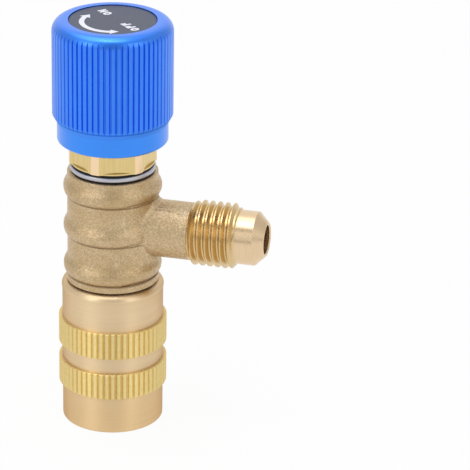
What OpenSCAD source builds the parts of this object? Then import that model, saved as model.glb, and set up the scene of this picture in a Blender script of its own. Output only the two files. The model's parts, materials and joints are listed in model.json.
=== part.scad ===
// Charging valve for a refrigeration service port: a knurled swivel nut screws onto the
// port, the blue knob drives a screw stem down, and the stem's pin presses the port's core.
// The side port takes the charging hose. Origin on the main axis in the plane of the nut's
// mouth, +Z up the main axis, +X along the side port.

/* [Coupling nut] */
// Height of the swivel nut
nut_h = 24.75; // [23:0.25:28]
// Outside diameter of the nut's plain cylinder
nut_d = 16.74; // [16.5:0.02:17.4]
// Diameter over the two knurled bands
band_d = 17.94; // [17.8:0.02:19]
// Lower edge of the lower band above the mouth
band_low_z = 6.45; // [3:0.05:8]
// Height of the lower band
band_low_h = 4.5; // [3:0.05:5.5]
// Plain groove between the bands
band_gap = 2.8; // [2:0.1:4]
// Height of the upper band
band_high_h = 4.6; // [3:0.05:5.5]
// Ribs round each band
band_ribs = 56; // [40:1:72]
// Depth of the knurl on the bands
band_knurl = 0.3; // [0.15:0.05:0.4]
// Share of the bands' pitch that a groove takes
band_groove = 0.44; // [0.3:0.02:0.5]
// Bulge of the rolled lip at the nut's top
nut_lip = 0.09; // [0.02:0.01:0.2]
// Edge rounding at the nut's mouth
nut_edge = 0.35; // [0.1:0.05:0.8]
// Crest diameter of the nut's female thread
flare_nut_d = 11.44; // [10.8:0.02:11.8]
// Depth of the female thread
flare_nut_len = 8; // [6:0.5:9]
// Thickness of the web that hangs the nut on the tail
web_t = 5.5; // [4:0.5:6]

/* [Body] */
// Body top above the nut's top
body_rise = 19.5; // [18:0.05:23]
// Diameter of the cast body between its beads
body_d = 14.94; // [14.6:0.02:15.4]
// Diameter over the three beads
bead_d = 16.2; // [15.9:0.05:17]
// Half height of a bead
bead_half = 1.3; // [1:0.02:1.8]
// Spacing of the beads
bead_pitch = 6.9; // [5.5:0.05:7.5]
// Diameter of the flange above the nut
flange_d = 15.28; // [14.6:0.02:16]
// Height of that flange
flange_h = 1.16; // [0.8:0.02:1.6]
// Open gap between the flange and the nut
nut_gap = 0.4; // [0.2:0.05:0.8]
// Diameter of the journal that the nut turns on
journal_d = 14.4; // [13.6:0.05:14.8]
// Length of that journal below the flange
journal_h = 4.15; // [3.4:0.05:4.6]
// Diameter of the tail below the journal
tail_d = 10.7; // [10.2:0.05:11]
// Tail end above the nut's mouth
tail_z = 10.5; // [9.5:0.1:11.5]
// Main bore of the body
bore_d = 6; // [5.2:0.1:6.4]

/* [Side port] */
// Port axis above the nut's top
port_rise = 9.9; // [9:0.05:11]
// Diameter of the port's cast arm
arm_d = 9.48; // [8.6:0.02:9.7]
// Rounding where the arm grows out of the body
arm_fillet = 1.3; // [0.6:0.1:1.8]
// Start of the port's thread, from the main axis
thread_x = 13.6; // [12:0.1:15]
// Length of the port's thread
port_thread_len = 7.65; // [6:0.05:10]
// Crest diameter of the port's thread
port_thread_d = 10.75; // [10.5:0.05:11.2]
// Pitch of both flare threads
flare_pitch = 1.27; // [1:0.01:1.5]
// Depth of the port's thread
port_thread_depth = 0.7; // [0.4:0.05:0.8]
// Diameter of the smooth nose before the flare cone
nose_d = 8.9; // [8.4:0.05:9.1]
// Length of the smooth nose
nose_len = 3.2; // [2:0.1:4]
// Length of the 45 degree flare cone
cone_len = 1.65; // [1.2:0.05:1.8]
// Bore of the port
port_bore_d = 4.85; // [4:0.05:5]
// Bottom of that bore, from the main axis
port_bore_x = 13.4; // [12:0.1:16]
// Passage from that bore into the main bore
passage_d = 3.6; // [3:0.1:3.8]

/* [Bonnet] */
// Gap between the body and the hexagon, filled by the bonded seal
seal_gap = 1.42; // [1.3:0.02:2.2]
// Hexagon across its flats
hex_af = 13; // [12.6:0.05:13.4]
// Turned diameter over the hexagon's corners
hex_corner_d = 14.35; // [13.8:0.05:14.6]
// Height of the hexagon
hex_h = 6.4; // [5:0.1:7]
// Height of the round boss on the hexagon
boss_h = 1; // [0.5:0.1:2]
// Diameter of that boss
boss_d = 10.4; // [9:0.1:11.5]
// Diameter of the bonnet's thread in the body
bonnet_thread_d = 12; // [11.4:0.1:12.4]
// Length of that thread
bonnet_thread_len = 6.2; // [5.8:0.1:6.6]
// Outside diameter of the seal's steel ring
seal_ring_d = 14.14; // [13.8:0.02:14.6]
// Thickness of the steel ring
seal_ring_t = 0.66; // [0.4:0.02:0.8]

/* [Stem] */
// Diameter of the stem's thread
stem_thread_d = 7; // [6.4:0.1:7.4]
// Pitch of the stem's thread
stem_pitch = 1; // [0.75:0.05:1.25]
// Downward travel of the stem
travel = 3; // [2:0.1:3.2]
// Diameter of the stem's sealing piston
piston_d = 8.4; // [8:0.1:8.8]
// Lands on both sides of each seal groove
land = 0.6; // [0.4:0.05:0.7]
// Width of each seal groove
groove_w = 1.95; // [1.85:0.05:2.1]
// Depth of each seal groove
groove_depth = 1.23; // [1:0.01:1.4]
// Thickness of the back-up rings
backup_t = 0.6; // [0.4:0.05:0.65]
// Square that drives the knob, across its flats
drive_af = 4.6; // [4:0.1:5]
// Diameter of the pin
pin_d = 3.6; // [3:0.1:4]
// Diameter of the pin's slender end
pin_tip_d = 2.5; // [2:0.1:2.8]
// Depth of the pin's end inside the gasket, with the valve shut
pin_inset = 0.7; // [0.3:0.1:1.5]
// Diameter of the pin's head in the stem
pin_head_d = 3.9; // [3.6:0.1:4.2]
// Wire of the clip that holds the pin in the stem
clip_wire = 0.56; // [0.4:0.02:0.7]

/* [Knob] */
// Skirt edge above the hexagon's lower face
skirt_lift = 3.86; // [3.3:0.01:4.2]
// Height of the knob
knob_h = 20.47; // [19:0.01:23]
// Diameter over the knob's ribs
knob_d = 19.65; // [19:0.05:22]
// Ribs round the knob
knob_ribs = 66; // [48:1:80]
// Depth of the knob's knurl
knob_knurl = 0.28; // [0.15:0.01:0.4]
// Share of the knob's pitch that a groove takes
knob_groove = 0.38; // [0.3:0.02:0.5]
// Rounding of the knob's top edge
knob_round = 1.85; // [1:0.05:1.85]
// Diameter of the smooth skirt
skirt_d = 18.12; // [17.8:0.01:18.8]
// Height of the smooth skirt
skirt_h = 3.27; // [2:0.01:4]
// Height of the chamfer between the skirt and the ribs
skirt_chamfer = 1.35; // [0.8:0.05:2]
// Diameter of the hollow over the bonnet
hollow_d = 15.8; // [15:0.1:16.4]
// Room above the bonnet's boss at the bottom of the travel
stop_gap = 0.47; // [0.3:0.01:1]
// Diameter of the label's recess
recess_d = 14.36; // [13.6:0.02:14.6]
// Depth of the label's recess
recess_h = 0.65; // [0.6:0.05:1.4]
// Thickness of the label
label_t = 0.5; // [0.3:0.05:0.7]
// Gap round the label in its recess
label_gap = 0.15; // [0.05:0.01:0.2]
// Diameter of the screw's pocket
pocket_d = 8.4; // [7.4:0.1:9]
// Depth of the screw's pocket
pocket_h = 2.75; // [2.6:0.05:3.4]
// Diameter of the knob's screw
screw_d = 3; // [2.5:0.1:3.2]
// Length of the screw under its head
screw_len = 8; // [5:0.5:9]
// Diameter of the screw's head
screw_head_d = 5.6; // [5:0.1:6.4]
// Height of the screw's head
screw_head_h = 1.9; // [1.4:0.05:2]
// Diameter of the washer under the screw
washer_d = 7; // [6.4:0.1:7.2]
// Thickness of that washer
washer_t = 0.5; // [0.3:0.05:0.6]

/* [Small pieces] */
// Wire of the ring that holds the nut
ring_wire = 1.1; // [0.9:0.05:1.2]
// Length of the gasket in the tail
gasket_h = 3.15; // [2.6:0.05:3.2]
// Height by which the gasket stands out of the tail
gasket_proud = 0.4; // [0.1:0.05:0.6]
// Diameter of the gasket
gasket_d = 7.9; // [7:0.1:8]
// Hole through the gasket
gasket_bore = 4; // [3.6:0.1:4.4]
// Thickness of the pin's guide
guide_t = 2.6; // [2:0.1:3]
// Diameter of the pin's guide
guide_d = 6.7; // [6.4:0.1:7]
// Thickness of the washer above the nut's web
thrust_t = 0.5; // [0.3:0.05:0.8]
// Gap between turning or sliding pieces, on the radius
running = 0.05; // [0.02:0.01:0.08]
// Gap between fixed pieces, on the radius
seat = 0.05; // [0.02:0.01:0.1]

/* [Hidden] */
$fn = 96;
e = 0.01;

// Heights from the nut's mouth up
band_high_z = band_low_z + band_low_h + band_gap;
flange_z = nut_h + nut_gap;
web_top = flange_z - journal_h - thrust_t;
web_z = web_top - web_t;
port_z = nut_h + port_rise;
body_top = nut_h + body_rise;
hex_z = body_top + seal_gap;
hex_top = hex_z + hex_h;
bonnet_top = hex_top + boss_h;
bonnet_low = body_top - bonnet_thread_len;
knob_z = hex_z + skirt_lift;
knob_top = knob_z + knob_h;
hollow_top = bonnet_top + travel + stop_gap;
recess_z = knob_top - recess_h;
pocket_z = recess_z - pocket_h;

// The piston stays inside the bonnet at both ends of the travel
piston_len = 3 * land + 2 * groove_w;
piston_low = bonnet_low + travel + 0.1;
piston_top = piston_low + piston_len;
seal_bore_top = piston_top + 0.2;
lower_groove_z = piston_low + land;
upper_groove_z = lower_groove_z + groove_w + land;
groove_r = piston_d / 2 - groove_depth;
seal_bore_r = piston_d / 2 + running;

// The pin's head sits in a socket in the stem, held by its clip
socket_depth = 4.2;
head_top = piston_low + socket_depth - 0.2;
clip_z = piston_low + 1.2;
clip_r = pin_head_d / 2;
clip_room = 0.05;
pin_tip_z = tail_z - gasket_proud + pin_inset;
pin_neck_z = tail_z + gasket_h - gasket_proud + guide_t + travel + 0.7;

// The tail's bores, from its end up
gasket_seat_z = tail_z + gasket_h - gasket_proud + seat;
guide_top = gasket_seat_z + guide_t + seat;
ring_z = web_z - ring_wire / 2 - 0.1;
ring_r = tail_d / 2 + seat;

body_r = body_d / 2;
arm_r = arm_d / 2;
port_end = thread_x + port_thread_len + nose_len + cone_len;

// A corner to cut off a turned outline, rounded by r, with its material to the lower left
module corner_cut(x, z, r, sx = 1, sz = 1) {
  translate([x, z]) scale_flip(sx, sz) difference() {
    translate([-r, -r]) square([r + 1, r + 1]);
    translate([-r, -r]) circle(r);
  }
}

module scale_flip(sx, sz) {
  mirror([sx < 0 ? 1 : 0, 0]) mirror([0, sz < 0 ? 1 : 0]) children();
}

// Rings of wire or rubber with a round section
module torus(r, wire) {
  rotate_extrude() translate([r, 0]) circle(wire / 2);
}

// Ring of rectangular section
module flat_ring(r_out, r_in, h) {
  difference() {
    cylinder(r = r_out, h = h);
    translate([0, 0, -1]) cylinder(r = r_in, h = h + 2);
  }
}

// Star that leaves V grooves in what it meets: each takes its share of the pitch at radius r,
// and its flanks go on out past r
function knurl_points(r, depth, ribs, groove) =
  let (p = 360 / ribs, low = 0.05, past = 1.2, high = low + (groove / 2 - low) * (1 + past))
  [for (i = [0:ribs - 1]) let (a = i * p)
    each [polar(r + past * depth, a - p * high), polar(r - depth, a - p * low),
          polar(r - depth, a + p * low), polar(r + past * depth, a + p * high)]];
function polar(r, a) = [r * cos(a), r * sin(a)];

// Grooves of a thread with its crests at radius r, as a turned outline to be cut away
module thread_cuts(r, depth, pitch, count, inward = 1) {
  for (i = [0:count - 1])
    translate([0, i * pitch]) polygon([
      [r + inward * 0.2, -pitch * 0.5 - depth * 0.02],
      [r, -pitch * 0.42], [r - inward * depth, -pitch * 0.09],
      [r - inward * depth, pitch * 0.09], [r, pitch * 0.42],
      [r + inward * 0.2, pitch * 0.5 + depth * 0.02]]);
}

module coupling_nut() {
  color("#c9a56b") difference() {
    union() {
      rotate_extrude() nut_outline();
      nut_band(band_low_z, band_low_h);
      nut_band(band_high_z, band_high_h);
    }
    translate([0, 0, -1]) cylinder(d = flare_nut_d, h = web_z);
    cylinder(r1 = flare_nut_d / 2 + 0.7, r2 = flare_nut_d / 2 - e, h = 0.7 + e);
    translate([0, 0, flare_nut_len])
      cylinder(d = flare_nut_d + 1.5, h = web_z - flare_nut_len);
    cylinder(r = tail_d / 2 + running, h = nut_h + 1);
    translate([0, 0, web_top]) cylinder(r = journal_d / 2 + running, h = nut_h);
  }
}

module nut_outline() {
  lip_r = nut_d / 2 + nut_lip - journal_d / 2 - 0.35;
  difference() {
    square([nut_d / 2, nut_h - lip_r]);
    corner_cut(nut_d / 2, 0, nut_edge, 1, -1);
  }
  translate([0, nut_h - lip_r - e]) square([journal_d / 2 + 0.35, lip_r + e]);
  translate([journal_d / 2 + 0.35, nut_h - lip_r]) circle(lip_r);
}

// Knurled band with crisp edges
module nut_band(z, h) {
  r = band_d / 2;
  edge = 0.1;
  intersection() {
    rotate_extrude() polygon([
      [nut_d / 2 - 1, z], [r - edge, z], [r, z + edge], [r, z + h - edge], [r - edge, z + h],
      [nut_d / 2 - 1, z + h]]);
    translate([0, 0, z - 1]) linear_extrude(h + 2)
      polygon(knurl_points(r, band_knurl, band_ribs, band_groove));
  }
}

module nut_retaining_ring() {
  color("#b9bcc0") translate([0, 0, ring_z]) difference() {
    torus(ring_r, ring_wire);
    translate([-tail_d, -0.6, -1]) cube([tail_d, 1.2, 2]);
  }
}

module nut_thrust_washer() {
  color("#e8e4d8") translate([0, 0, web_top + running])
    flat_ring(journal_d / 2 - running, tail_d / 2 + seat, thrust_t - 2 * running);
}

module valve_body() {
  color("#b39a72") difference() {
    union() {
      rotate_extrude() body_outline();
      port_arm();
      arm_root();
    }
    body_bores();
  }
}

module body_outline() {
  square_between(0, tail_d / 2, tail_z, flange_z);
  square_between(0, journal_d / 2, flange_z - journal_h, flange_z + e);
  square_between(0, flange_d / 2, flange_z, flange_z + flange_h);
  difference() {
    square_between(0, body_r, flange_z + flange_h - e, body_top);
    corner_cut(body_r, body_top, 0.3);
  }
  for (i = [-1:1]) translate([0, port_z + i * bead_pitch]) bead();
}

module square_between(x0, x1, z0, z1) {
  translate([x0, z0]) square([x1 - x0, z1 - z0]);
}

// Bead with a sharp crease below and a soft run-out above
module bead() {
  rise = (bead_d - body_d) / 2;
  r = (rise * rise + bead_half * bead_half) / (2 * rise);
  blend = 2.2;
  // Where the blending arc above touches the bead's arc
  cx = bead_d / 2 - r;
  dx = body_r + blend - cx;
  dz = sqrt((r + blend) * (r + blend) - dx * dx);
  touch = r / (r + blend);
  intersection() {
    translate([cx, 0]) circle(r);
    square_between(body_r - 0.5, bead_d, -bead_half - 1, r);
  }
  difference() {
    polygon([[body_r - 0.5, 0], [cx + dx * touch, dz * touch], [body_r + e, dz],
             [body_r - 0.5, dz]]);
    translate([cx + dx, dz]) circle(blend);
  }
}

// Arm, thread, smooth nose and flare cone, turned about the port's axis
module port_arm() {
  translate([0, 0, port_z]) rotate([0, 90, 0]) rotate_extrude() port_outline();
}

module port_outline() {
  r = port_thread_d / 2;
  end = thread_x + port_thread_len;
  count = floor((port_thread_len - 0.9) / flare_pitch);
  square_between(0, arm_r, 0, thread_x + 0.5);
  difference() {
    polygon([[0, thread_x], [arm_r, thread_x], [r, thread_x + 0.75],
             [r, end - 0.5], [nose_d / 2, end + 0.3], [0, end + 0.3]]);
    translate([0, thread_x + 0.75 + flare_pitch / 2])
      thread_cuts(r, port_thread_depth, flare_pitch, count);
  }
  polygon([[0, end], [nose_d / 2, end], [nose_d / 2, end + nose_len],
           [nose_d / 2 - cone_len, port_end], [0, port_end]]);
}

// Cast fillet where the arm meets the body: the path of a ball that rolls round the corner
module arm_root() {
  steps = 48;
  arc = 6;
  dip = 0.975;
  k = arm_fillet * dip;
  rings = [for (i = [0:steps - 1]) fillet_ring(i * 360 / steps, k, arc)];
  n = arc + 2;
  points = [for (ring = rings) each ring];
  faces = [for (i = [0:steps - 1]) for (j = [0:n - 1])
    let (a = i * n + j, b = i * n + (j + 1) % n,
         c = ((i + 1) % steps) * n + (j + 1) % n, d = ((i + 1) % steps) * n + j)
    each [[a, b, c], [a, c, d]]];
  translate([0, 0, port_z]) polyhedron(points, faces, convexity = 6);
}

function unit(v) = v / norm(v);
function fillet_ring(phi, k, arc) =
  let (y = (arm_r + k) * sin(phi), z = (arm_r + k) * cos(phi),
       x = sqrt(pow(body_r + k, 2) - y * y),
       to_arm = -[0, sin(phi), cos(phi)], to_body = -unit([x, y, 0]),
       middle = [x, y, z])
  concat([for (j = [0:arc]) middle + arm_fillet * turn_to(to_arm, to_body, j / arc)],
         [middle + arm_fillet * 1.15 * (to_arm + to_body)]);
function turn_to(a, b, t) =
  let (w = acos(a * b)) (sin((1 - t) * w) * a + sin(t * w) * b) / sin(w);

module body_bores() {
  translate([0, 0, tail_z - 1]) cylinder(d = bore_d, h = body_top);
  translate([0, 0, tail_z - 1]) cylinder(r = gasket_d / 2 + seat, h = gasket_seat_z - tail_z + 1);
  translate([0, 0, tail_z]) cylinder(r = guide_d / 2 + seat, h = guide_top - tail_z);
  translate([0, 0, bonnet_low - 0.2])
    cylinder(r = bonnet_thread_d / 2 + seat, h = bonnet_thread_len + 2);
  translate([0, 0, port_z]) rotate([0, 90, 0]) rotate_extrude() port_hollow();
  translate([0, 0, ring_z]) rotate_extrude()
    square_between(ring_r - ring_wire / 2 - 2 * seat, tail_d, -ring_wire / 2 - seat,
                   ring_wire / 2 + seat);
  rotate_extrude() corner_cut(tail_d / 2, tail_z, 0.4, 1, -1);
}

// Passage, drill point, bore and the countersink at the port's mouth
module port_hollow() {
  r = port_bore_d / 2;
  sink = 0.2;
  polygon([[0, 0], [passage_d / 2, 0], [passage_d / 2, port_bore_x - (r - passage_d / 2) * 0.6],
           [r, port_bore_x], [r, port_end - sink], [r + sink + e, port_end + e],
           [0, port_end + e]]);
}

module flare_gasket() {
  color("#26272b") translate([0, 0, tail_z - gasket_proud]) rotate_extrude() difference() {
    square_between(gasket_bore / 2, gasket_d / 2, 0, gasket_h);
    corner_cut(gasket_d / 2, 0, 0.3, 1, -1);
    corner_cut(gasket_bore / 2, 0, 0.3, -1, -1);
  }
}

module pin_guide() {
  flow_holes = 4;
  flow_d = 1;
  color("#c2a15f") translate([0, 0, gasket_seat_z]) difference() {
    cylinder(d = guide_d, h = guide_t);
    translate([0, 0, -1]) cylinder(r = pin_tip_d / 2 + running, h = guide_t + 2);
    for (i = [0:flow_holes - 1]) rotate(i * 360 / flow_holes)
      translate([(guide_d + pin_tip_d) / 4, 0, -1]) cylinder(d = flow_d, h = guide_t + 2);
  }
}

module depressor_pin() {
  color("#b9bcc0") rotate_extrude() difference() {
    union() {
      square_between(0, pin_tip_d / 2, pin_tip_z, head_top - 1);
      square_between(0, pin_d / 2, pin_neck_z, head_top - 1);
      square_between(0, pin_head_d / 2, piston_low + 0.1, head_top);
    }
    corner_cut(pin_tip_d / 2, pin_tip_z, 0.4, 1, -1);
    corner_cut(pin_head_d / 2, head_top, 0.3);
    square_between(clip_r - clip_wire / 2 - clip_room, pin_head_d,
                   clip_z - clip_wire / 2 - clip_room, clip_z + clip_wire / 2 + clip_room);
  }
}

module pin_clip() {
  color("#9a9da1") translate([0, 0, clip_z]) difference() {
    torus(clip_r, clip_wire);
    translate([0, -0.4, -1]) cube([pin_head_d, 0.8, 2]);
  }
}

module stem() {
  thread_low = piston_top - 0.6;
  turns = floor((hollow_top - thread_low - 1.6) / stem_pitch);
  color("#b9bcc0") difference() {
    union() {
      rotate_extrude() stem_outline(thread_low, turns);
      translate([0, 0, hollow_top - 1]) intersection() {
        cylinder(d = drive_af * 1.26, h = pocket_z - hollow_top + 0.7);
        translate([-drive_af / 2, -drive_af / 2, 0])
          cube([drive_af, drive_af, pocket_z - hollow_top + 0.7]);
      }
    }
    translate([0, 0, piston_low - 1]) cylinder(r = pin_head_d / 2 + running, h = socket_depth + 1);
    translate([0, 0, clip_z]) rotate_extrude()
      square_between(0, clip_r + clip_wire / 2 + clip_room, -clip_wire / 2 - clip_room,
                     clip_wire / 2 + clip_room);
    translate([0, 0, pocket_z - screw_len]) cylinder(r = screw_d / 2 + seat, h = screw_len + 1);
  }
}

module stem_outline(thread_low, turns) {
  difference() {
    union() {
      square_between(0, piston_d / 2, piston_low, piston_top);
      square_between(0, stem_thread_d / 2, piston_top - e, hollow_top);
    }
    for (z = [lower_groove_z, upper_groove_z])
      square_between(groove_r, piston_d, z, z + groove_w);
    corner_cut(piston_d / 2, piston_low, 0.25, 1, -1);
    corner_cut(piston_d / 2, piston_top, 0.25);
    translate([0, piston_top + 1]) thread_cuts(stem_thread_d / 2, 0.45, stem_pitch, turns);
  }
}

// Seal of the stem, squeezed between its groove and the bonnet's bore
module stem_o_ring(z) {
  gap = 0.03;
  wire = seal_bore_r - groove_r - 2 * gap;
  color("#1c1a1a") translate([0, 0, z + gap + wire / 2]) torus(groove_r + gap + wire / 2, wire);
}

module backup_ring(z) {
  gap = 0.03;
  color("#e8e4d8") translate([0, 0, z + groove_w - backup_t - gap])
    flat_ring(seal_bore_r - gap, groove_r + gap, backup_t);
}

module stem_lower_o_ring() { stem_o_ring(lower_groove_z); }
module stem_lower_backup_ring() { backup_ring(lower_groove_z); }
module stem_upper_o_ring() { stem_o_ring(upper_groove_z); }
module stem_upper_backup_ring() { backup_ring(upper_groove_z); }

module bonnet() {
  color("#d6b878") difference() {
    union() {
      intersection() {
        translate([0, 0, hex_z]) rotate(22) cylinder(r = hex_af / 2 / cos(30), h = hex_h, $fn = 6);
        rotate_extrude() hex_turning();
      }
      translate([0, 0, hex_top - e]) cylinder(d = boss_d, h = boss_h + e);
      rotate_extrude() bonnet_thread();
    }
    translate([0, 0, bonnet_low - 1]) cylinder(r = seal_bore_r, h = seal_bore_top - bonnet_low + 1);
    translate([0, 0, bonnet_low]) cylinder(r = stem_thread_d / 2 + running, h = bonnet_top);
    translate([0, 0, bonnet_top - 0.4])
      cylinder(r1 = stem_thread_d / 2 + running - e, r2 = stem_thread_d / 2 + 0.4, h = 0.4 + e);
  }
}

// Turned envelope that takes the hexagon's corners off
module hex_turning() {
  r = hex_corner_d / 2;
  polygon([[0, hex_z], [r, hex_z], [r, hex_top - 0.5], [r - 0.9, hex_top], [0, hex_top]]);
}

module bonnet_thread() {
  r = bonnet_thread_d / 2;
  pitch = 1;
  turns = floor((bonnet_thread_len - 1) / pitch);
  difference() {
    square_between(0, r, bonnet_low, hex_z + e);
    translate([0, bonnet_low + 1]) thread_cuts(r, 0.45, pitch, turns);
    polygon([[r - 0.5, bonnet_low - e], [r + 0.1, bonnet_low - e], [r + 0.1, bonnet_low + 0.6]]);
  }
}

// Steel ring of the bonded seal, with rounded edges
module bonnet_seal_ring() {
  r = seal_ring_d / 2;
  round = seal_ring_t * 0.4;
  color("#c4c4c6") translate([0, 0, body_top + (seal_gap - seal_ring_t) / 2]) rotate_extrude()
    difference() {
      square_between(r - 0.95, r, 0, seal_ring_t);
      corner_cut(r, seal_ring_t, round);
      corner_cut(r, 0, round, 1, -1);
    }
}

// Rubber of the bonded seal, which grips the steel ring from inside
module bonnet_seal_rubber() {
  r_in = bonnet_thread_d / 2 + seat;
  r_ring = seal_ring_d / 2 - 0.95 - 0.02;
  side = (seal_gap - seal_ring_t) / 2 - 0.02;
  color("#1c1a1a") translate([0, 0, body_top]) rotate_extrude() {
    square_between(r_in, r_ring, 0, seal_gap);
    square_between(r_in, seal_ring_d / 2 - 0.2, 0, side);
    square_between(r_in, seal_ring_d / 2 - 0.3, seal_gap - side, seal_gap);
  }
}

module knob() {
  color("#2f6fe0") difference() {
    intersection() {
      rotate_extrude() knob_outline();
      union() {
        cylinder(r = knob_d, h = knob_z + skirt_h);
        translate([0, 0, knob_z]) cylinder(d = skirt_d, h = skirt_h + 1);
        translate([0, 0, knob_z + skirt_h - e]) linear_extrude(knob_h)
          polygon(knurl_points(knob_d / 2, knob_knurl, knob_ribs, knob_groove));
      }
    }
    translate([0, 0, knob_z - 1]) cylinder(d = hollow_d, h = hollow_top - knob_z + 1);
    translate([0, 0, recess_z]) cylinder(d = recess_d, h = recess_h + 1);
    translate([0, 0, pocket_z]) cylinder(d = pocket_d, h = pocket_h + 1);
    translate([-drive_af / 2 - seat, -drive_af / 2 - seat, hollow_top - 1])
      cube([drive_af + 2 * seat, drive_af + 2 * seat, knob_h]);
  }
}

module knob_outline() {
  difference() {
    union() {
      square_between(0, skirt_d / 2, knob_z, knob_z + skirt_h + e);
      polygon([[0, knob_z + skirt_h], [skirt_d / 2, knob_z + skirt_h],
               [knob_d / 2, knob_z + skirt_h + skirt_chamfer], [knob_d / 2, knob_top],
               [0, knob_top]]);
    }
    corner_cut(knob_d / 2, knob_top, knob_round);
    corner_cut(skirt_d / 2, knob_z, 0.36, 1, -1);
  }
}

module knob_washer() {
  color("#b9bcc0") translate([0, 0, pocket_z])
    flat_ring(washer_d / 2, screw_d / 2 + seat, washer_t);
}

module knob_screw() {
  head_z = pocket_z + washer_t;
  slot = 0.9;
  color("#9a9da1") difference() {
    union() {
      translate([0, 0, head_z - screw_len]) cylinder(d = screw_d, h = screw_len + e);
      translate([0, 0, head_z]) rotate_extrude() difference() {
        square_between(0, screw_head_d / 2, 0, screw_head_h);
        corner_cut(screw_head_d / 2, screw_head_h, 0.8);
      }
    }
    for (a = [0, 90]) rotate(a)
      translate([-screw_head_d * 0.28, -slot / 2, head_z + screw_head_h - 1])
        cube([screw_head_d * 0.56, slot, 2]);
  }
}

module knob_label() {
  color("#6d6e7c") translate([0, 0, recess_z]) cylinder(r = recess_d / 2 - label_gap, h = label_t);
}

coupling_nut();
nut_retaining_ring();
nut_thrust_washer();
valve_body();
flare_gasket();
pin_guide();
depressor_pin();
pin_clip();
stem();
stem_lower_o_ring();
stem_lower_backup_ring();
stem_upper_o_ring();
stem_upper_backup_ring();
bonnet();
bonnet_seal_ring();
bonnet_seal_rubber();
knob();
knob_washer();
knob_screw();
knob_label();
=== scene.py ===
"""Charging valve: finishes, print, threads, rings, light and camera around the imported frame."""

import json
import math

import bmesh
import bpy
from mathutils import Matrix, Quaternion, Vector


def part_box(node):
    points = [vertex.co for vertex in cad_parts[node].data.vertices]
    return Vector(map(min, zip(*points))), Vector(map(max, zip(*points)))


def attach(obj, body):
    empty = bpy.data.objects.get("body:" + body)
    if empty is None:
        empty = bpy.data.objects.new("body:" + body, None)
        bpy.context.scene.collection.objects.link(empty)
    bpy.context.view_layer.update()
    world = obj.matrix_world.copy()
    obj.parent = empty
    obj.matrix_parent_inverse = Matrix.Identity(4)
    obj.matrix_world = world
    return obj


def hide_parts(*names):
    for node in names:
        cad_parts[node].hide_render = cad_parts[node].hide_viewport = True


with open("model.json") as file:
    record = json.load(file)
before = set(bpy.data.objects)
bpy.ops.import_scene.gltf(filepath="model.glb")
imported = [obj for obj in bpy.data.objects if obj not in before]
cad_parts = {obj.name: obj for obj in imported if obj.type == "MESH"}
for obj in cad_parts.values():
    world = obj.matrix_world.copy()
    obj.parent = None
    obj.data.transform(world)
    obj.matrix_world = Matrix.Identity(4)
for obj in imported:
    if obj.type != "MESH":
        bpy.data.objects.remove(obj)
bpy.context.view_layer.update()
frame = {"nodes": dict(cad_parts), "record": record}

MM = 0.001
SLOTS = {row["node"]: row["material_slot"] for row in frame["record"]["subparts"]}

# Camera, as the photograph was taken: the aim point on the main axis and where it falls
AIM = Vector((0.0, 0.0, 35 * MM))
CAMERA_DISTANCE = 500 * MM
CAMERA_AZIMUTH = 16.0
CAMERA_ELEVATION = 23.25
FOCAL_PX = 3038.0
IMAGE_PX = 470.0
AIM_PX = (112.8, 220.3)
SENSOR = 36.0
CLIP_NEAR, CLIP_FAR = 0.01, 20.0

# Places along the main axis and the side port, from the frame
NUT_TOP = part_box("coupling_nut")[1].z
PORT_Z = NUT_TOP + 9.9 * MM
THREAD_X = 13.6 * MM
THREAD_END = 21.55 * MM
LABEL_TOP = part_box("knob_label")[1].z
SKIRT_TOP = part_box("knob")[0].z + 3.27 * MM
RIB_FOOT = SKIRT_TOP + 1.35 * MM
GROOVE_FOOT = RIB_FOOT - 0.5 * MM
SEAL_LOW, SEAL_TOP = (corner.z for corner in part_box("bonnet_seal_rubber"))
RING_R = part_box("bonnet_seal_ring")[1].x
# The body's three beads: their middles, half their height, how much lower the forging's
# creases sit than the solid's, and the radius of the wall between them
BEAD_STEP = 6.9 * MM
BEAD_Z = (PORT_Z - BEAD_STEP, PORT_Z, PORT_Z + BEAD_STEP)
BEAD_HALF = 1.3 * MM
CREASE_DROP = 0.24 * MM
WALL_R = 7.47 * MM

# Where one finish, or a painted shade or highlight, gives way to the next: each pair is where the
# change starts and ends, along the main axis, along the port, by distance from a line or by radius
MATT_LOW = (SKIRT_TOP - 0.05 * MM, SKIRT_TOP + 0.05 * MM)
MATT_HIGH = (RIB_FOOT + 0.1 * MM, RIB_FOOT - 0.1 * MM)
SKIRT_EDGE = (SKIRT_TOP - 0.05 * MM, SKIRT_TOP - 0.1 * MM)
# Painted shade: the thin dark line where the knob's grooves run out
RUNOUT_SHADE_LINE = (0.06 * MM, 0.24 * MM)
# Painted shade in the body's creases under the beads, and in the gap over the nut
CREASE_SHADE_LINE = (0.05 * MM, 0.22 * MM)
CREASE_SHADE_RADIUS = (8.0 * MM, 7.6 * MM)
GAP_SHADE_HEIGHT = (NUT_TOP + 0.5 * MM, NUT_TOP + 0.2 * MM)
GAP_SHADE_RADIUS = (7.3 * MM, 7.25 * MM)
ARM_TO_THREAD = (THREAD_X - 0.12 * MM, THREAD_X + 0.05 * MM)
THREAD_TO_NOSE = (THREAD_END - 0.5 * MM, THREAD_END + 0.5 * MM)
# Painted shade: the nut darker and warmer towards its foot
NUT_FOOT_SHADE = (13.0 * MM, 2.0 * MM)
KNURL_RADIUS = (8.45 * MM, 8.60 * MM)
# Painted highlight on the bonnet hexagon's turned corners
HEXAGON_CORNER_HIGHLIGHT = (7.1 * MM, 7.16 * MM)

# The span that most of a noise's values lie in, and the depth of fine and of blasted surfaces
NOISE_LOW, NOISE_HIGH = 0.3, 0.7
FINE_RELIEF = 0.02 * MM
CAST_RELIEF = 0.16 * MM


# Node helpers


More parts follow.
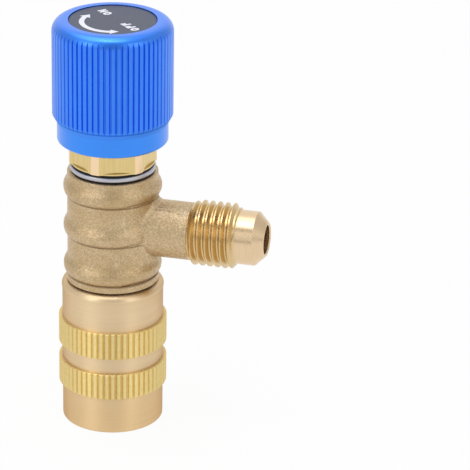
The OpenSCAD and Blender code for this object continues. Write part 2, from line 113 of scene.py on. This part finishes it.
class Nodes:
    """A small wrapper that adds and links shader nodes."""

    def __init__(self, tree):
        self.tree = tree

    def add(self, kind, inputs=None, **settings):
        made = self.tree.nodes.new(kind)
        for name, value in settings.items():
            setattr(made, name, value)
        for name, value in (inputs or {}).items():
            self.put(made.inputs[name], value)
        return made

    def put(self, socket, value):
        """Link a socket to a node's output, or set it to a plain value."""
        if isinstance(value, bpy.types.NodeSocket):
            self.tree.links.new(value, socket)
        else:
            socket.default_value = value

    def math(self, operation, a, b=0.5, c=0.5, clamp=False):
        made = self.add("ShaderNodeMath", operation=operation, use_clamp=clamp)
        for socket, value in zip(made.inputs, (a, b, c)):
            self.put(socket, value)
        return made.outputs[0]

    def mix(self, factor, a, b, kind="RGBA"):
        """A mix of two colours, or of two numbers where kind is FLOAT."""
        made = self.add("ShaderNodeMix", data_type=kind)
        ends, out = ((6, 7), 2) if kind == "RGBA" else ((2, 3), 0)
        for index, value in zip((0, *ends), (factor, a, b)):
            self.put(made.inputs[index], value)
        return made.outputs[out]

    def steps(self, value, low, high, out_low=0.0, out_high=1.0):
        """A smooth step from one number at low to another at high."""
        made = self.add("ShaderNodeMapRange", interpolation_type="SMOOTHSTEP")
        for socket, number in zip(made.inputs, (value, low, high, out_low, out_high)):
            self.put(socket, number)
        return made.outputs[0]

    def vary(self, noise, at_low, at_high):
        """A number that follows a noise from one value to another."""
        return self.steps(noise, NOISE_LOW, NOISE_HIGH, at_low, at_high)

    def noise(self, vector, scale, detail=4.0, roughness=0.6, stretch=None):
        if stretch is not None:
            vector = self.add("ShaderNodeMapping", {"Vector": vector, "Scale": stretch}).outputs[0]
        made = self.add("ShaderNodeTexNoise", {"Vector": vector, "Scale": scale,
                                               "Detail": detail, "Roughness": roughness})
        return made.outputs["Fac"]

    def split(self, vector):
        made = self.add("ShaderNodeSeparateXYZ", {"Vector": vector})
        return made.outputs[0], made.outputs[1], made.outputs[2]

    def length(self, a, b):
        square = self.math("ADD", self.math("MULTIPLY", a, a), self.math("MULTIPLY", b, b))
        return self.math("SQRT", square)

    def distance(self, a, b):
        return self.math("ABSOLUTE", self.math("SUBTRACT", a, b))


def srgb(red, green, blue):
    """A colour given as it shows on screen, 0 to 255, as the linear values a shader takes."""
    def linear(c):
        c /= 255.0
        return c / 12.92 if c <= 0.04045 else ((c + 0.055) / 1.055) ** 2.4
    return (linear(red), linear(green), linear(blue), 1.0)


def material(name, metallic, **constant):
    """A material, its node helper, its Principled shader and its object coordinates."""
    made = bpy.data.materials.new(name)
    made.use_nodes = True
    nodes = Nodes(made.node_tree)
    shader = made.node_tree.nodes["Principled BSDF"]
    shader.inputs["Metallic"].default_value = metallic
    for socket, value in constant.items():
        shader.inputs[socket.replace("_", " ")].default_value = value
    place = nodes.add("ShaderNodeTexCoord").outputs["Object"]
    return made, nodes, shader, place


def finish(nodes, shader, colour, roughness, height, strength, relief=FINE_RELIEF):
    """Link a material's colour, roughness and relief to its shader."""
    made = nodes.add("ShaderNodeBump", {"Height": height, "Strength": strength,
                                        "Distance": relief})
    nodes.put(shader.inputs["Base Color"], colour)
    nodes.put(shader.inputs["Roughness"], roughness)
    nodes.put(shader.inputs["Normal"], made.outputs[0])


# Materials


def blue_anodised():
    """The knob: bright ribs and skirt, and a cone from the skirt to the ribs blasted matt."""
    made, nodes, shader, place = material("blue_anodised", 1.0, Coat_IOR=1.6, Coat_Roughness=0.25)
    z = nodes.split(place)[2]
    matt = nodes.math("MULTIPLY", nodes.steps(z, *MATT_LOW), nodes.steps(z, *MATT_HIGH))
    fine = nodes.noise(place, 9000.0, 3.0)
    slow = nodes.noise(place, 160.0, 3.0)
    colour = nodes.mix(slow, srgb(38, 124, 244), srgb(52, 140, 254))
    colour = nodes.mix(nodes.steps(z, *SKIRT_EDGE, 0.0, 0.6), colour, srgb(50, 150, 255))
    colour = nodes.mix(matt, colour, srgb(92, 172, 255))
    # Painted shade: a thin dark line where the grooves run out
    runout_shade = nodes.steps(nodes.distance(z, GROOVE_FOOT), *RUNOUT_SHADE_LINE, 0.55, 0.0)
    colour = nodes.mix(runout_shade, colour, srgb(20, 84, 220))
    rough = nodes.math("ADD", nodes.vary(fine, 0.34, 0.46), nodes.math("MULTIPLY", matt, 0.4))
    nodes.put(shader.inputs["Coat Weight"], nodes.steps(matt, 0.0, 1.0, 0.6, 0.05))
    finish(nodes, shader, colour, rough, fine, 0.12)
    return made


def cast_brass():
    """Blasted forging, with the port's thread, nose and cone machined bright."""
    made, nodes, shader, place = material("cast_brass", 1.0)
    x, y, z = nodes.split(place)
    out = nodes.length(x, y)
    grain = nodes.noise(place, 3800.0, 5.0, 0.7)
    speck = nodes.noise(place, 1500.0, 3.0, 0.65)
    slow = nodes.noise(place, 120.0, 3.0)
    cast = nodes.mix(nodes.steps(grain, 0.32, 0.68), srgb(180, 155, 117), srgb(223, 198, 160))
    cast = nodes.mix(nodes.steps(speck, 0.56, 0.70, 0.0, 0.28), cast, srgb(244, 226, 196))
    cast = nodes.mix(nodes.steps(slow, 0.42, 0.66, 0.0, 0.42), cast, srgb(185, 156, 108))
    # Painted shade in the creases under the beads and in the gap over the nut
    for bead in BEAD_Z:
        from_crease = nodes.distance(z, bead - BEAD_HALF - CREASE_DROP)
        scale = nodes.math("MULTIPLY", nodes.steps(from_crease, *CREASE_SHADE_LINE, 0.6, 0.0),
                           nodes.steps(out, *CREASE_SHADE_RADIUS))
        cast = nodes.mix(scale, cast, srgb(96, 70, 44))
    gap_shade = nodes.math("MULTIPLY", nodes.steps(z, *GAP_SHADE_HEIGHT), nodes.steps(out, *GAP_SHADE_RADIUS))
    cast = nodes.mix(gap_shade, cast, srgb(92, 66, 44))
    turned = nodes.noise(place, 900.0, 3.0, 0.6, stretch=(6.0, 0.4, 0.4))
    bright = nodes.mix(nodes.steps(x, *THREAD_TO_NOSE),
                       nodes.mix(turned, srgb(209, 180, 126), srgb(225, 197, 148)),
                       nodes.mix(turned, srgb(222, 193, 154), srgb(236, 210, 174)))
    machined = nodes.steps(x, *ARM_TO_THREAD)
    rough = nodes.mix(machined, nodes.vary(grain, 0.44, 0.30), nodes.vary(turned, 0.32, 0.24),
                      "FLOAT")
    height = nodes.math("ADD", nodes.math("MULTIPLY", grain, 0.6),
                        nodes.math("MULTIPLY", speck, 0.6))
    height = nodes.math("MULTIPLY", height, nodes.steps(machined, 0.0, 1.0, 1.0, 0.06))
    finish(nodes, shader, nodes.mix(machined, cast, bright), rough, height, 0.75, CAST_RELIEF)
    return made


def nut_brass():
    """Turned nut: fine rings on the plain cylinder, yellower bright ribs on the bands, and painted
    shade towards the foot.
    """
    made, nodes, shader, place = material("nut_brass", 1.0, Specular_Tint=(0.62, 0.52, 0.46, 1.0),
                                          Anisotropic=0.75, Anisotropic_Rotation=0.25)
    x, y, z = nodes.split(place)
    rings = nodes.noise(place, 700.0, 4.0, 0.7, stretch=(0.05, 0.05, 8.0))
    slow = nodes.noise(place, 140.0, 3.0)
    plain = nodes.mix(rings, srgb(226, 199, 159), srgb(243, 219, 181))
    plain = nodes.mix(nodes.steps(slow, 0.4, 0.7, 0.0, 0.4), plain, srgb(234, 207, 166))
    # Painted shade: darker and warmer towards the foot, where the nut mirrors its own shadow on
    # the floor
    plain = nodes.mix(nodes.steps(z, *NUT_FOOT_SHADE, 0.0, 0.52), plain, srgb(230, 193, 135))
    knurl = nodes.mix(nodes.noise(place, 1800.0, 3.0), srgb(232, 206, 138), srgb(250, 230, 168))
    colour = nodes.mix(nodes.steps(nodes.length(x, y), *KNURL_RADIUS), plain, knurl)
    # Lathe marks run round the axis, so the gloss spreads along it
    marks = nodes.add("ShaderNodeTangent", direction_type="RADIAL", axis="Z")
    nodes.put(shader.inputs["Tangent"], marks.outputs[0])
    finish(nodes, shader, colour, nodes.vary(rings, 0.50, 0.40), rings, 0.15)
    return made


def bright_brass(name, dark, light, corner=None):
    """Drawn brass; a hexagon's turned corners get a paler colour, a painted highlight."""
    made, nodes, shader, place = material(name, 1.0)
    drawn = nodes.noise(place, 900.0, 4.0, 0.6, stretch=(3.0, 3.0, 0.15))
    colour = nodes.mix(drawn, dark, light)
    if corner:
        x, y, _ = nodes.split(place)
        colour = nodes.mix(nodes.steps(nodes.length(x, y), *HEXAGON_CORNER_HIGHLIGHT), colour, corner)
    finish(nodes, shader, colour, nodes.vary(drawn, 0.26, 0.18), drawn, 0.12)
    return made


def steel(name, dark, light, roughness):
    """Turned steel, with its marks round the main axis."""
    made, nodes, shader, place = material(name, 1.0)
    turned = nodes.noise(place, 900.0, 4.0, 0.6, stretch=(0.1, 0.1, 6.0))
    finish(nodes, shader, nodes.mix(turned, dark, light),
           nodes.vary(turned, roughness * 0.8, roughness * 1.25), turned, 0.1)
    return made


def moulded(name, dark, light, roughness, **constant):
    """Rubber, plastic and film: a fine grain in the colour, the gloss and the surface."""
    made, nodes, shader, place = material(name, 0.0, **constant)
    grain = nodes.noise(place, 2500.0, 4.0)
    finish(nodes, shader, nodes.mix(grain, dark, light),
           nodes.vary(grain, roughness * 0.85, roughness * 1.1), grain, 0.2)
    return made


MATERIALS = {
    "blue_anodised": blue_anodised(),
    "cast_brass": cast_brass(),
    "nut_brass": nut_brass(),
    "turned_brass": bright_brass("turned_brass", srgb(206, 168, 96), srgb(232, 198, 124)),
    # The hexagon's paler corner colour is a painted highlight
    "bonnet_brass": bright_brass("bonnet_brass", srgb(210, 184, 122), srgb(232, 208, 148),
                                 srgb(246, 216, 176)),
    "stem_steel": steel("stem_steel", srgb(176, 178, 182), srgb(206, 208, 212), 0.28),
    "spring_steel": steel("spring_steel", srgb(158, 160, 165), srgb(190, 192, 196), 0.3),
    "seal_ring_steel": steel("seal_ring_steel", srgb(188, 188, 196), srgb(206, 205, 212), 0.42),
    "fastener_steel": steel("fastener_steel", srgb(170, 172, 176), srgb(200, 202, 206), 0.3),
    "seal_rubber": moulded("seal_rubber", srgb(14, 11, 11), srgb(27, 22, 21), 0.6,
                           Specular_IOR_Level=0.3),
    "gasket_rubber": moulded("gasket_rubber", srgb(34, 35, 38), srgb(48, 49, 53), 0.6),
    "ptfe": moulded("ptfe", srgb(228, 224, 212), srgb(240, 237, 228), 0.45),
    "label_film": moulded("label_film", srgb(68, 73, 92), srgb(80, 85, 105), 0.42,
                          Specular_IOR_Level=0.3),
    "label_ink": moulded("label_ink", srgb(228, 230, 244), srgb(240, 242, 250), 0.45),
}


def dress_nodes():
    for name, node in frame["nodes"].items():
        node.data.materials.clear()
        node.data.materials.append(MATERIALS[SLOTS[name]])


def mesh_object(name, mesh, sharp=None):
    """A bmesh as an object: flat, or smooth but for the edges over an angle in degrees."""
    bmesh.ops.recalc_face_normals(mesh, faces=mesh.faces)
    for face in mesh.faces:
        face.smooth = sharp is not None
    data = bpy.data.meshes.new(name)
    mesh.to_mesh(data)
    mesh.free()
    # Split normals copied from a node belong to its old faces
    old = data.attributes.get("custom_normal")
    if old is not None:
        data.attributes.remove(old)
    if sharp is not None:
        data.set_sharp_from_angle(angle=math.radians(sharp))
    made = bpy.data.objects.new(name, data)
    bpy.context.scene.collection.objects.link(made)
    return made


# Label print: an arc with an arrowhead at each end, and the two switch words

# Direction of the words across the label, and the arrow's size
TEXT_TURN = math.radians(120.0 + CAMERA_AZIMUTH)
INK = 0.03 * MM
ARC_RADIUS = 4.9 * MM
ARC_WIDTH = 0.85 * MM
ARC_FROM = math.radians(33.0)
ARC_TO = math.radians(146.0)
ARC_STEPS = 40
HEAD_TURN = math.radians(16.0)
HEAD_WIDTH = 1.9 * MM
# The letters' size; the lengths of the F's top and middle bars and the height of its middle one,
# as shares of it; and the height of the N's slanting stroke, in strokes
LETTER_H = 1.5 * MM
LETTER_W = 1.15 * MM
STROKE = 0.42 * MM
F_TOP, F_MIDDLE, F_HEIGHT = 0.95, 0.85, 0.42
N_SLANT = 1.5
O_STEPS = 32
TEXT_LOW = -2.0 * MM
OFF_X = -5.55 * MM
ON_X = 3.15 * MM
LETTER_STEP = 1.42 * MM
# The print sits off the middle of the film, a little to the camera's left and towards it
PRINT_OFFSET = (-0.08 * MM, -0.75 * MM)


def arc_point(radius, angle):
    return (radius * math.cos(angle), radius * math.sin(angle))


def arrow_outlines():
    """The arc as short quads, and a triangle at each end."""
    low, high = ARC_RADIUS - ARC_WIDTH / 2, ARC_RADIUS + ARC_WIDTH / 2
    outlines = []
    for i in range(ARC_STEPS):
        a = ARC_FROM + (ARC_TO - ARC_FROM) * i / ARC_STEPS
        b = ARC_FROM + (ARC_TO - ARC_FROM) * (i + 1) / ARC_STEPS
        outlines.append([arc_point(low, a), arc_point(high, a),
                         arc_point(high, b), arc_point(low, b)])
    for end, turn in ((ARC_FROM, -HEAD_TURN), (ARC_TO, HEAD_TURN)):
        outlines.append([arc_point(ARC_RADIUS - HEAD_WIDTH / 2, end),
                         arc_point(ARC_RADIUS + HEAD_WIDTH / 2, end),
                         arc_point(ARC_RADIUS, end + turn)])
    return outlines


def bar(x0, y0, x1, y1):
    return [(x0, y0), (x1, y0), (x1, y1), (x0, y1)]


def letter_o(x, y):
    """A ring of quads, one stroke wide."""
    outlines = []
    for i in range(O_STEPS):
        quad = []
        for k, shrink in ((i, 0.0), (i + 1, 0.0), (i + 1, STROKE), (i, STROKE)):
            a = 2 * math.pi * k / O_STEPS
            quad.append((x + LETTER_W / 2 + (LETTER_W / 2 - shrink) * math.cos(a),
                         y + LETTER_H / 2 + (LETTER_H / 2 - shrink) * math.sin(a)))
        outlines.append(quad)
    return outlines


def letter_f(x, y):
    top, middle = y + LETTER_H, y + LETTER_H * F_HEIGHT
    return [bar(x, y, x + STROKE, top),
            bar(x + STROKE, top - STROKE, x + LETTER_W * F_TOP, top),
            bar(x + STROKE, middle, x + LETTER_W * F_MIDDLE, middle + STROKE)]


def letter_n(x, y):
    right, top = x + LETTER_W, y + LETTER_H
    return [bar(x, y, x + STROKE, top), bar(right - STROKE, y, right, top),
            [(x + STROKE, top), (x + STROKE, top - STROKE * N_SLANT),
             (right - STROKE, y), (right - STROKE, y + STROKE * N_SLANT)]]


def print_mesh(name, outlines):
    """Thin ink: each outline becomes a low prism on the label."""
    mesh = bmesh.new()
    offset = Matrix.Rotation(math.radians(CAMERA_AZIMUTH), 4, "Z") @ Vector((*PRINT_OFFSET, 0.0))
    place = Matrix.Translation(offset) @ Matrix.Rotation(TEXT_TURN, 4, "Z")
    for outline in outlines:
        low = [mesh.verts.new(place @ Vector((x, y, LABEL_TOP))) for x, y in outline]
        high = [mesh.verts.new(place @ Vector((x, y, LABEL_TOP + INK))) for x, y in outline]
        mesh.faces.new(low)
        mesh.faces.new(high)
        for i in range(len(outline)):
            n = (i + 1) % len(outline)
            mesh.faces.new([low[i], low[n], high[n], high[i]])
    made = mesh_object(name, mesh)
    made.data.materials.append(MATERIALS["label_ink"])
    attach(made, "spindle")


def make_print():
    print_mesh("label_arrow", arrow_outlines())
    off = letter_o(OFF_X, TEXT_LOW)
    off += letter_f(OFF_X + LETTER_STEP, TEXT_LOW) + letter_f(OFF_X + 2 * LETTER_STEP, TEXT_LOW)
    print_mesh("label_off_word", off)
    print_mesh("label_on_word", letter_o(ON_X, TEXT_LOW) + letter_n(ON_X + LETTER_STEP, TEXT_LOW))


# Helical threads, in place of the rings and the plain bore of the solids

PITCH = 1.27 * MM
# Places across one turn of a thread, from the middle of a crest: its edge, flank, root and back
PHASES = (0.0, 0.08, 0.25, 0.41, 0.5, 0.59, 0.75, 0.92)
CREST_EDGE, ROOT_EDGE = PHASES[1], PHASES[3]
SIDES = 96
# Turns laid past each end of a thread, and the strip left there for the seam
SPARE_TURNS = 3
SEAM = 0.03 * MM
# The port: the arm and the nose at the thread's ends, the thread, the stretches over which it
# rises from the one and falls to the other, and a radius between the bore and the outside
ARM_R, NOSE_R = 4.74 * MM, 4.45 * MM
PORT_CREST, PORT_ROOT = 5.375 * MM, 4.675 * MM
PORT_RISE, PORT_FALL = 0.75 * MM, 0.8 * MM
PORT_INSIDE = 3.5 * MM
# Turns that the port's helix is shifted by, so that its crests show where the photograph's do
PORT_SHIFT = 0.8
# The nut: its thread, the chamfer of its mouth, and the relief past the thread's end
NUT_CREST, NUT_ROOT = 5.72 * MM, 6.3 * MM
NUT_MOUTH, NUT_RELIEF = 6.42 * MM, 6.47 * MM
NUT_THREAD_END = 8.0 * MM
# How near two points count as one, how far a face may lie past a thread's ends or its bore,
# and the angles over which an edge stays sharp
WELD_SOURCE, WELD_THREAD = 0.0001 * MM, 0.001 * MM
END_SLACK, BORE_SLACK = 0.002 * MM, 0.01 * MM
THREAD_SHARP, LATHE_SHARP = 26.0, 30.0
# What drop_creases moves: the radii from the wall to past the beads; how many degrees from the
# arm the drop starts, and over how many it grows; how far over a bead's middle it starts, over
# what height it grows, and how far past the crease it ends
DROP_INNER, DROP_OUTER = WALL_R - 0.02 * MM, 8.2 * MM
DROP_TURN, DROP_FADE = 50.0, 15.0
DROP_ABOVE, DROP_GROWTH, DROP_PAST = 0.3 * MM, 0.9 * MM, 0.05 * MM


def across(point):
    return math.hypot(point.x, point.y)


def thread_height(phase):
    """Height over the root, from 0 to 1, of a V thread with flat crests and roots."""
    from_crest = min(phase, 1.0 - phase)
    return max(0.0, min(1.0, (ROOT_EDGE - from_crest) / (ROOT_EDGE - CREST_EDGE)))


def port_radius(along, phase):
    start = ARM_R + (along - THREAD_X) * (PORT_CREST - ARM_R) / PORT_RISE
    end = NOSE_R + (THREAD_END - along) * (PORT_CREST - NOSE_R) / PORT_FALL
    return min(PORT_ROOT + (PORT_CREST - PORT_ROOT) * thread_height(phase), start, end)


def nut_radius(along, phase):
    return max(NUT_ROOT - (NUT_ROOT - NUT_CREST) * thread_height(phase), NUT_MOUTH - along)


def add_thread(mesh, place, low, high, shift, radius):
    """Rows that follow the helix, clamped to a plain circle at both ends."""
    first = math.floor(low / PITCH) - SPARE_TURNS
    last = math.ceil(high / PITCH) + SPARE_TURNS
    rows = [turn + phase for turn in range(first, last) for phase in PHASES]
    columns = []
    for j in range(SIDES):
        angle = 2 * math.pi * j / SIDES
        column = []
        for row in rows:
            along = min(max((row + shift + j / SIDES) * PITCH, low + SEAM), high - SEAM)
            r = radius(along, row - math.floor(row))
            if along == low + SEAM or along == high - SEAM:
                # The end circles have the radius of a crest at the start and of a root at the end
                r = radius(along, 0.0 if along < (low + high) / 2 else 0.5)
            column.append(mesh.verts.new(place @ Vector((r * math.cos(angle),
                                                         r * math.sin(angle), along))))
        columns.append(column)
    for j, column in enumerate(columns):
        # The last column meets the first one a turn further on
        ahead = columns[j + 1] if j + 1 < SIDES else columns[0][len(PHASES):]
        for k in range(len(ahead) - 1):
            mesh.faces.new((column[k], ahead[k], ahead[k + 1], column[k + 1]))
    grid = [vertex for column in columns for vertex in column]
    bmesh.ops.remove_doubles(mesh, verts=grid, dist=WELD_THREAD)


def close_seams(mesh, place, low, high, inside):
    """Join the thread's two end circles to the circles that its zone was cut out at."""
    back = place.inverted()
    for end in (low, high):
        rims = []
        for edge in mesh.edges:
            spots = [back @ vertex.co for vertex in edge.verts]
            if edge.is_boundary and all(abs(p.z - end) < 2 * SEAM and inside(p) for p in spots):
                rims.append(edge)
        bmesh.ops.bridge_loops(mesh, edges=rims)


def drop_creases(mesh):
    """Draw the lower half of each bead down to the forging's crease, clear of the arm."""
    for vertex in mesh.verts:
        turn = abs(math.degrees(math.atan2(vertex.co.y, vertex.co.x)))
        if not DROP_INNER < across(vertex.co) < DROP_OUTER or turn < DROP_TURN:
            continue
        for bead in BEAD_Z:
            below = bead + DROP_ABOVE - vertex.co.z
            if 0.0 < below < DROP_ABOVE + BEAD_HALF + DROP_PAST:
                share = min(below / DROP_GROWTH, 1.0) * min((turn - DROP_TURN) / DROP_FADE, 1.0)
                vertex.co.z -= CREASE_DROP * share


def threaded_copy(name, node, place, low, high, shift, radius, inside):
    """A node's mesh with the stretch from low to high, where inside is true, cut as a helix."""
    mesh = bmesh.new()
    mesh.from_mesh(frame["nodes"][node].data)
    bmesh.ops.remove_doubles(mesh, verts=mesh.verts, dist=WELD_SOURCE)
    if node == "valve_body":
        drop_creases(mesh)
    back = place.inverted()
    zone = []
    for face in mesh.faces:
        spots = [back @ vertex.co for vertex in face.verts]
        if all(low - END_SLACK < p.z < high + END_SLACK and inside(p) for p in spots):
            zone.append(face)
    bmesh.ops.delete(mesh, geom=zone, context="FACES")
    add_thread(mesh, place, low, high, shift, radius)
    close_seams(mesh, place, low, high, inside)
    return mesh_object(name, mesh, THREAD_SHARP)


def make_threads():
    # Local Z runs along the port, and local X and Y along the frame's Y and Z
    port = Matrix(((0, 0, 1, 0), (1, 0, 0, 0), (0, 1, 0, PORT_Z), (0, 0, 0, 1)))
    body = threaded_copy("valve_body_threaded", "valve_body", port, THREAD_X, THREAD_END,
                         PORT_SHIFT, port_radius, lambda p: across(p) > PORT_INSIDE)
    nut = threaded_copy("coupling_nut_threaded", "coupling_nut", Matrix.Identity(4), 0.0,
                        NUT_THREAD_END, 0.0, nut_radius,
                        lambda p: across(p) < NUT_RELIEF + BORE_SLACK)
    for piece, node, holder in ((body, "valve_body", "valve_body"),
                                (nut, "coupling_nut", "swivel_nut")):
        piece.data.materials.append(MATERIALS[SLOTS[node]])
        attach(piece, holder)
        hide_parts(node)


# Turned rings at the bonnet's foot

# The collar under the hexagon, which stands on the bonded seal
COLLAR_HEIGHT = 0.26 * MM
COLLAR_IN, COLLAR_OUT = 6.2 * MM, 6.86 * MM
# The seal's steel ring: half its height, the bend of its edges, how far its middle sits under
# the rubber's, and how deep it reaches in from its rim
RING_HALF, RING_BEND = 0.4 * MM, 0.26 * MM
RING_SINK = 0.08 * MM
RING_DEPTH = 0.9 * MM
BEND_STEPS = 6


def lathe(name, profile, body, node, replaces=False):
    """A ring turned about the main axis, in the finish of a node."""
    mesh = bmesh.new()
    columns = [[mesh.verts.new((r * math.cos(a), r * math.sin(a), z)) for r, z in profile]
               for a in (2 * math.pi * j / SIDES for j in range(SIDES))]
    for j, column in enumerate(columns):
        ahead = columns[(j + 1) % SIDES]
        for k in range(len(profile)):
            n = (k + 1) % len(profile)
            mesh.faces.new((column[k], ahead[k], ahead[n], column[n]))
    made = mesh_object(name, mesh, LATHE_SHARP)
    made.data.materials.append(MATERIALS[SLOTS[node]])
    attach(made, body)
    if replaces:
        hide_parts(node)


def make_rings():
    """The turned collar under the hexagon, and the seal's steel ring with rounded edges."""
    low, high = SEAL_TOP, SEAL_TOP + COLLAR_HEIGHT
    lathe("bonnet_collar", [(COLLAR_IN, low), (COLLAR_OUT, low),
                            (COLLAR_OUT, high), (COLLAR_IN, high)], "valve_body", "bonnet")
    middle = (SEAL_LOW + SEAL_TOP) / 2 - RING_SINK
    profile = [(RING_R - RING_DEPTH, middle - RING_HALF)]
    for corner, turn in ((-1, -90.0), (1, 0.0)):
        for k in range(BEND_STEPS + 1):
            a = math.radians(turn + 90.0 / BEND_STEPS * k)
            profile.append((RING_R - RING_BEND + RING_BEND * math.cos(a),
                            middle + corner * (RING_HALF - RING_BEND) + RING_BEND * math.sin(a)))
    profile.append((RING_R - RING_DEPTH, middle + RING_HALF))
    lathe("bonnet_seal_ring_rounded", profile, "valve_body", "bonnet_seal_ring", replaces=True)


# Stage, light and camera

WHITE = (1.0, 1.0, 1.0, 1.0)
FLOOR_SIZE = 6.0
FLOOR_DROP = 0.02 * MM
FLOOR_GREY = (0.85, 0.85, 0.85, 1.0)
# The share of the floor that shows plain white; the rest keeps the object's shadow
FLOOR_WHITE = 0.94

# The tent's glow by direction: round from the camera's side, 0 degrees, to the back, 180, the
# part of it by height over the horizon, and the share of it that reaches matt surfaces
TENT_ROUND = ((0.0, 0.5), (20.0, 0.52), (34.0, 1.0), (66.0, 0.95), (90.0, 0.7), (130.0, 0.7),
              (160.0, 1.0), (180.0, 1.0))
TENT_HEIGHT = ((0.0, 0.25), (10.0, 1.0), (40.0, 1.0), (48.0, 0.3), (56.0, 0.3), (63.0, 1.0),
               (90.0, 1.0))
TENT_LIGHT = 0.8
# Where the tent's even roof takes over from its sides, by the direction's Z, and where the
# change by height fades in, by the direction's part towards the camera
TENT_ROOF = (0.75, 0.9)
TENT_FRONT = (-0.1, 0.2)

# Soft boxes: degrees round from the camera, degrees up, width and height, and watts
LAMP_DISTANCE = 0.7
LAMPS = {
    "left_box": (-50, 26, (0.24, 0.5), 0.65),
    "right_box": (42, 26, (0.24, 0.5), 0.5),
    "top_box": (-100, 75, (0.64, 0.5), 1.25),
    "front_strip": (-8, 80, (0.34, 0.13), 0.55),
}


def empty_tree(owner):
    """The cleared node tree of a material or a world, in its helper, and its light path."""
    owner.use_nodes = True
    owner.node_tree.nodes.clear()
    nodes = Nodes(owner.node_tree)
    return nodes, nodes.add("ShaderNodeLightPath").outputs


def mirrored(nodes, path):
    """1 where a surface is seen in a mirror or through glass."""
    return nodes.math("ADD", path["Is Glossy Ray"], path["Is Transmission Ray"])


def make_floor():
    bpy.ops.mesh.primitive_plane_add(size=FLOOR_SIZE, location=(0, 0, -FLOOR_DROP))
    floor = bpy.context.object
    floor.name = "floor"
    made = bpy.data.materials.new("floor")
    nodes, path = empty_tree(made)
    seen = nodes.math("ADD", mirrored(nodes, path), path["Is Camera Ray"], clamp=True)
    share = nodes.math("MULTIPLY", seen, FLOOR_WHITE)
    diffuse = nodes.add("ShaderNodeBsdfDiffuse", {"Color": FLOOR_GREY})
    glow = nodes.add("ShaderNodeEmission", {"Color": WHITE, "Strength": 1.0})
    mixed = nodes.add("ShaderNodeMixShader", {0: share, 1: diffuse.outputs[0], 2: glow.outputs[0]})
    nodes.add("ShaderNodeOutputMaterial", {"Surface": mixed.outputs[0]})
    floor.data.materials.append(made)


def steps_through(nodes, value, points):
    """A curve through points, whose first number is an angle in degrees."""
    curve = points[0][1]
    for (low, before), (high, after) in zip(points, points[1:]):
        if after != before:
            curve = nodes.math("ADD", curve, nodes.steps(value, math.radians(low),
                                                         math.radians(high), 0.0, after - before))
    return curve


def tent_glow(nodes):
    """A white studio tent: dim round the camera, with a dark line at the horizon and a seam."""
    x, y, z = nodes.split(nodes.add("ShaderNodeTexCoord").outputs["Generated"])
    a = math.radians(CAMERA_AZIMUTH)
    front = nodes.math("SUBTRACT", nodes.math("MULTIPLY", x, math.sin(a)),
                       nodes.math("MULTIPLY", y, math.cos(a)))
    side = nodes.math("ADD", nodes.math("MULTIPLY", x, math.cos(a)),
                      nodes.math("MULTIPLY", y, math.sin(a)))
    turn = nodes.math("ARCTAN2", nodes.math("ABSOLUTE", side), front)
    roof = nodes.steps(z, *TENT_ROOF)
    walls = nodes.math("MULTIPLY", steps_through(nodes, turn, TENT_ROUND),
                       nodes.math("SUBTRACT", 1.0, roof))
    height = steps_through(nodes, nodes.math("ARCSINE", z), TENT_HEIGHT)
    height = nodes.math("MULTIPLY_ADD", nodes.math("SUBTRACT", height, 1.0),
                        nodes.steps(front, *TENT_FRONT), 1.0)
    return nodes.math("MULTIPLY", nodes.math("ADD", walls, roof), height)


def make_world():
    world = bpy.data.worlds.new("studio")
    bpy.context.scene.world = world
    nodes, path = empty_tree(world)
    strength = nodes.math("MULTIPLY_ADD", mirrored(nodes, path), 1.0 - TENT_LIGHT, TENT_LIGHT)
    tent = nodes.math("MULTIPLY", tent_glow(nodes), strength)
    glow = nodes.math("MAXIMUM", tent, path["Is Camera Ray"])
    made = nodes.add("ShaderNodeBackground", {"Color": WHITE, "Strength": glow})
    nodes.add("ShaderNodeOutputWorld", {"Surface": made.outputs[0]})


def direction(azimuth, elevation):
    """From the valve outwards, in degrees: azimuth 0 is -Y, and 90 is the port's side, +X."""
    a, e = math.radians(azimuth), math.radians(elevation)
    return Vector((math.sin(a) * math.cos(e), -math.cos(a) * math.cos(e), math.sin(e)))


def make_lamps():
    """Soft boxes that face the valve."""
    for name, (azimuth, elevation, size, watts) in LAMPS.items():
        back = direction(CAMERA_AZIMUTH + azimuth, elevation)
        lamp = bpy.data.lights.new(name, "AREA")
        lamp.shape = "RECTANGLE"
        lamp.size, lamp.size_y = size
        lamp.energy = watts
        made = bpy.data.objects.new(name, lamp)
        bpy.context.scene.collection.objects.link(made)
        made.location = AIM + back * LAMP_DISTANCE
        made.rotation_mode = "QUATERNION"
        made.rotation_quaternion = back.to_track_quat("Z", "Y")


def make_camera():
    data = bpy.data.cameras.new("camera")
    data.sensor_width = SENSOR
    data.lens = FOCAL_PX * SENSOR / IMAGE_PX
    data.clip_start, data.clip_end = CLIP_NEAR, CLIP_FAR
    camera = bpy.data.objects.new("camera", data)
    bpy.context.scene.collection.objects.link(camera)
    bpy.context.scene.camera = camera
    back = direction(CAMERA_AZIMUTH, CAMERA_ELEVATION)
    camera.location = AIM + back * CAMERA_DISTANCE
    # The aim point falls left of the picture's middle, so the camera turns right and down
    middle = IMAGE_PX / 2
    yaw = math.atan((middle - AIM_PX[0]) / FOCAL_PX)
    pitch = math.atan((middle - AIM_PX[1]) / FOCAL_PX)
    camera.rotation_mode = "QUATERNION"
    camera.rotation_quaternion = ((-back).to_track_quat("-Z", "Y")
                                  @ Quaternion((0, 1, 0), -yaw) @ Quaternion((1, 0, 0), -pitch))


dress_nodes()
make_threads()
make_rings()
make_print()
make_floor()
make_world()
make_lamps()
make_camera()
bpy.context.scene.view_settings.view_transform = "Standard"
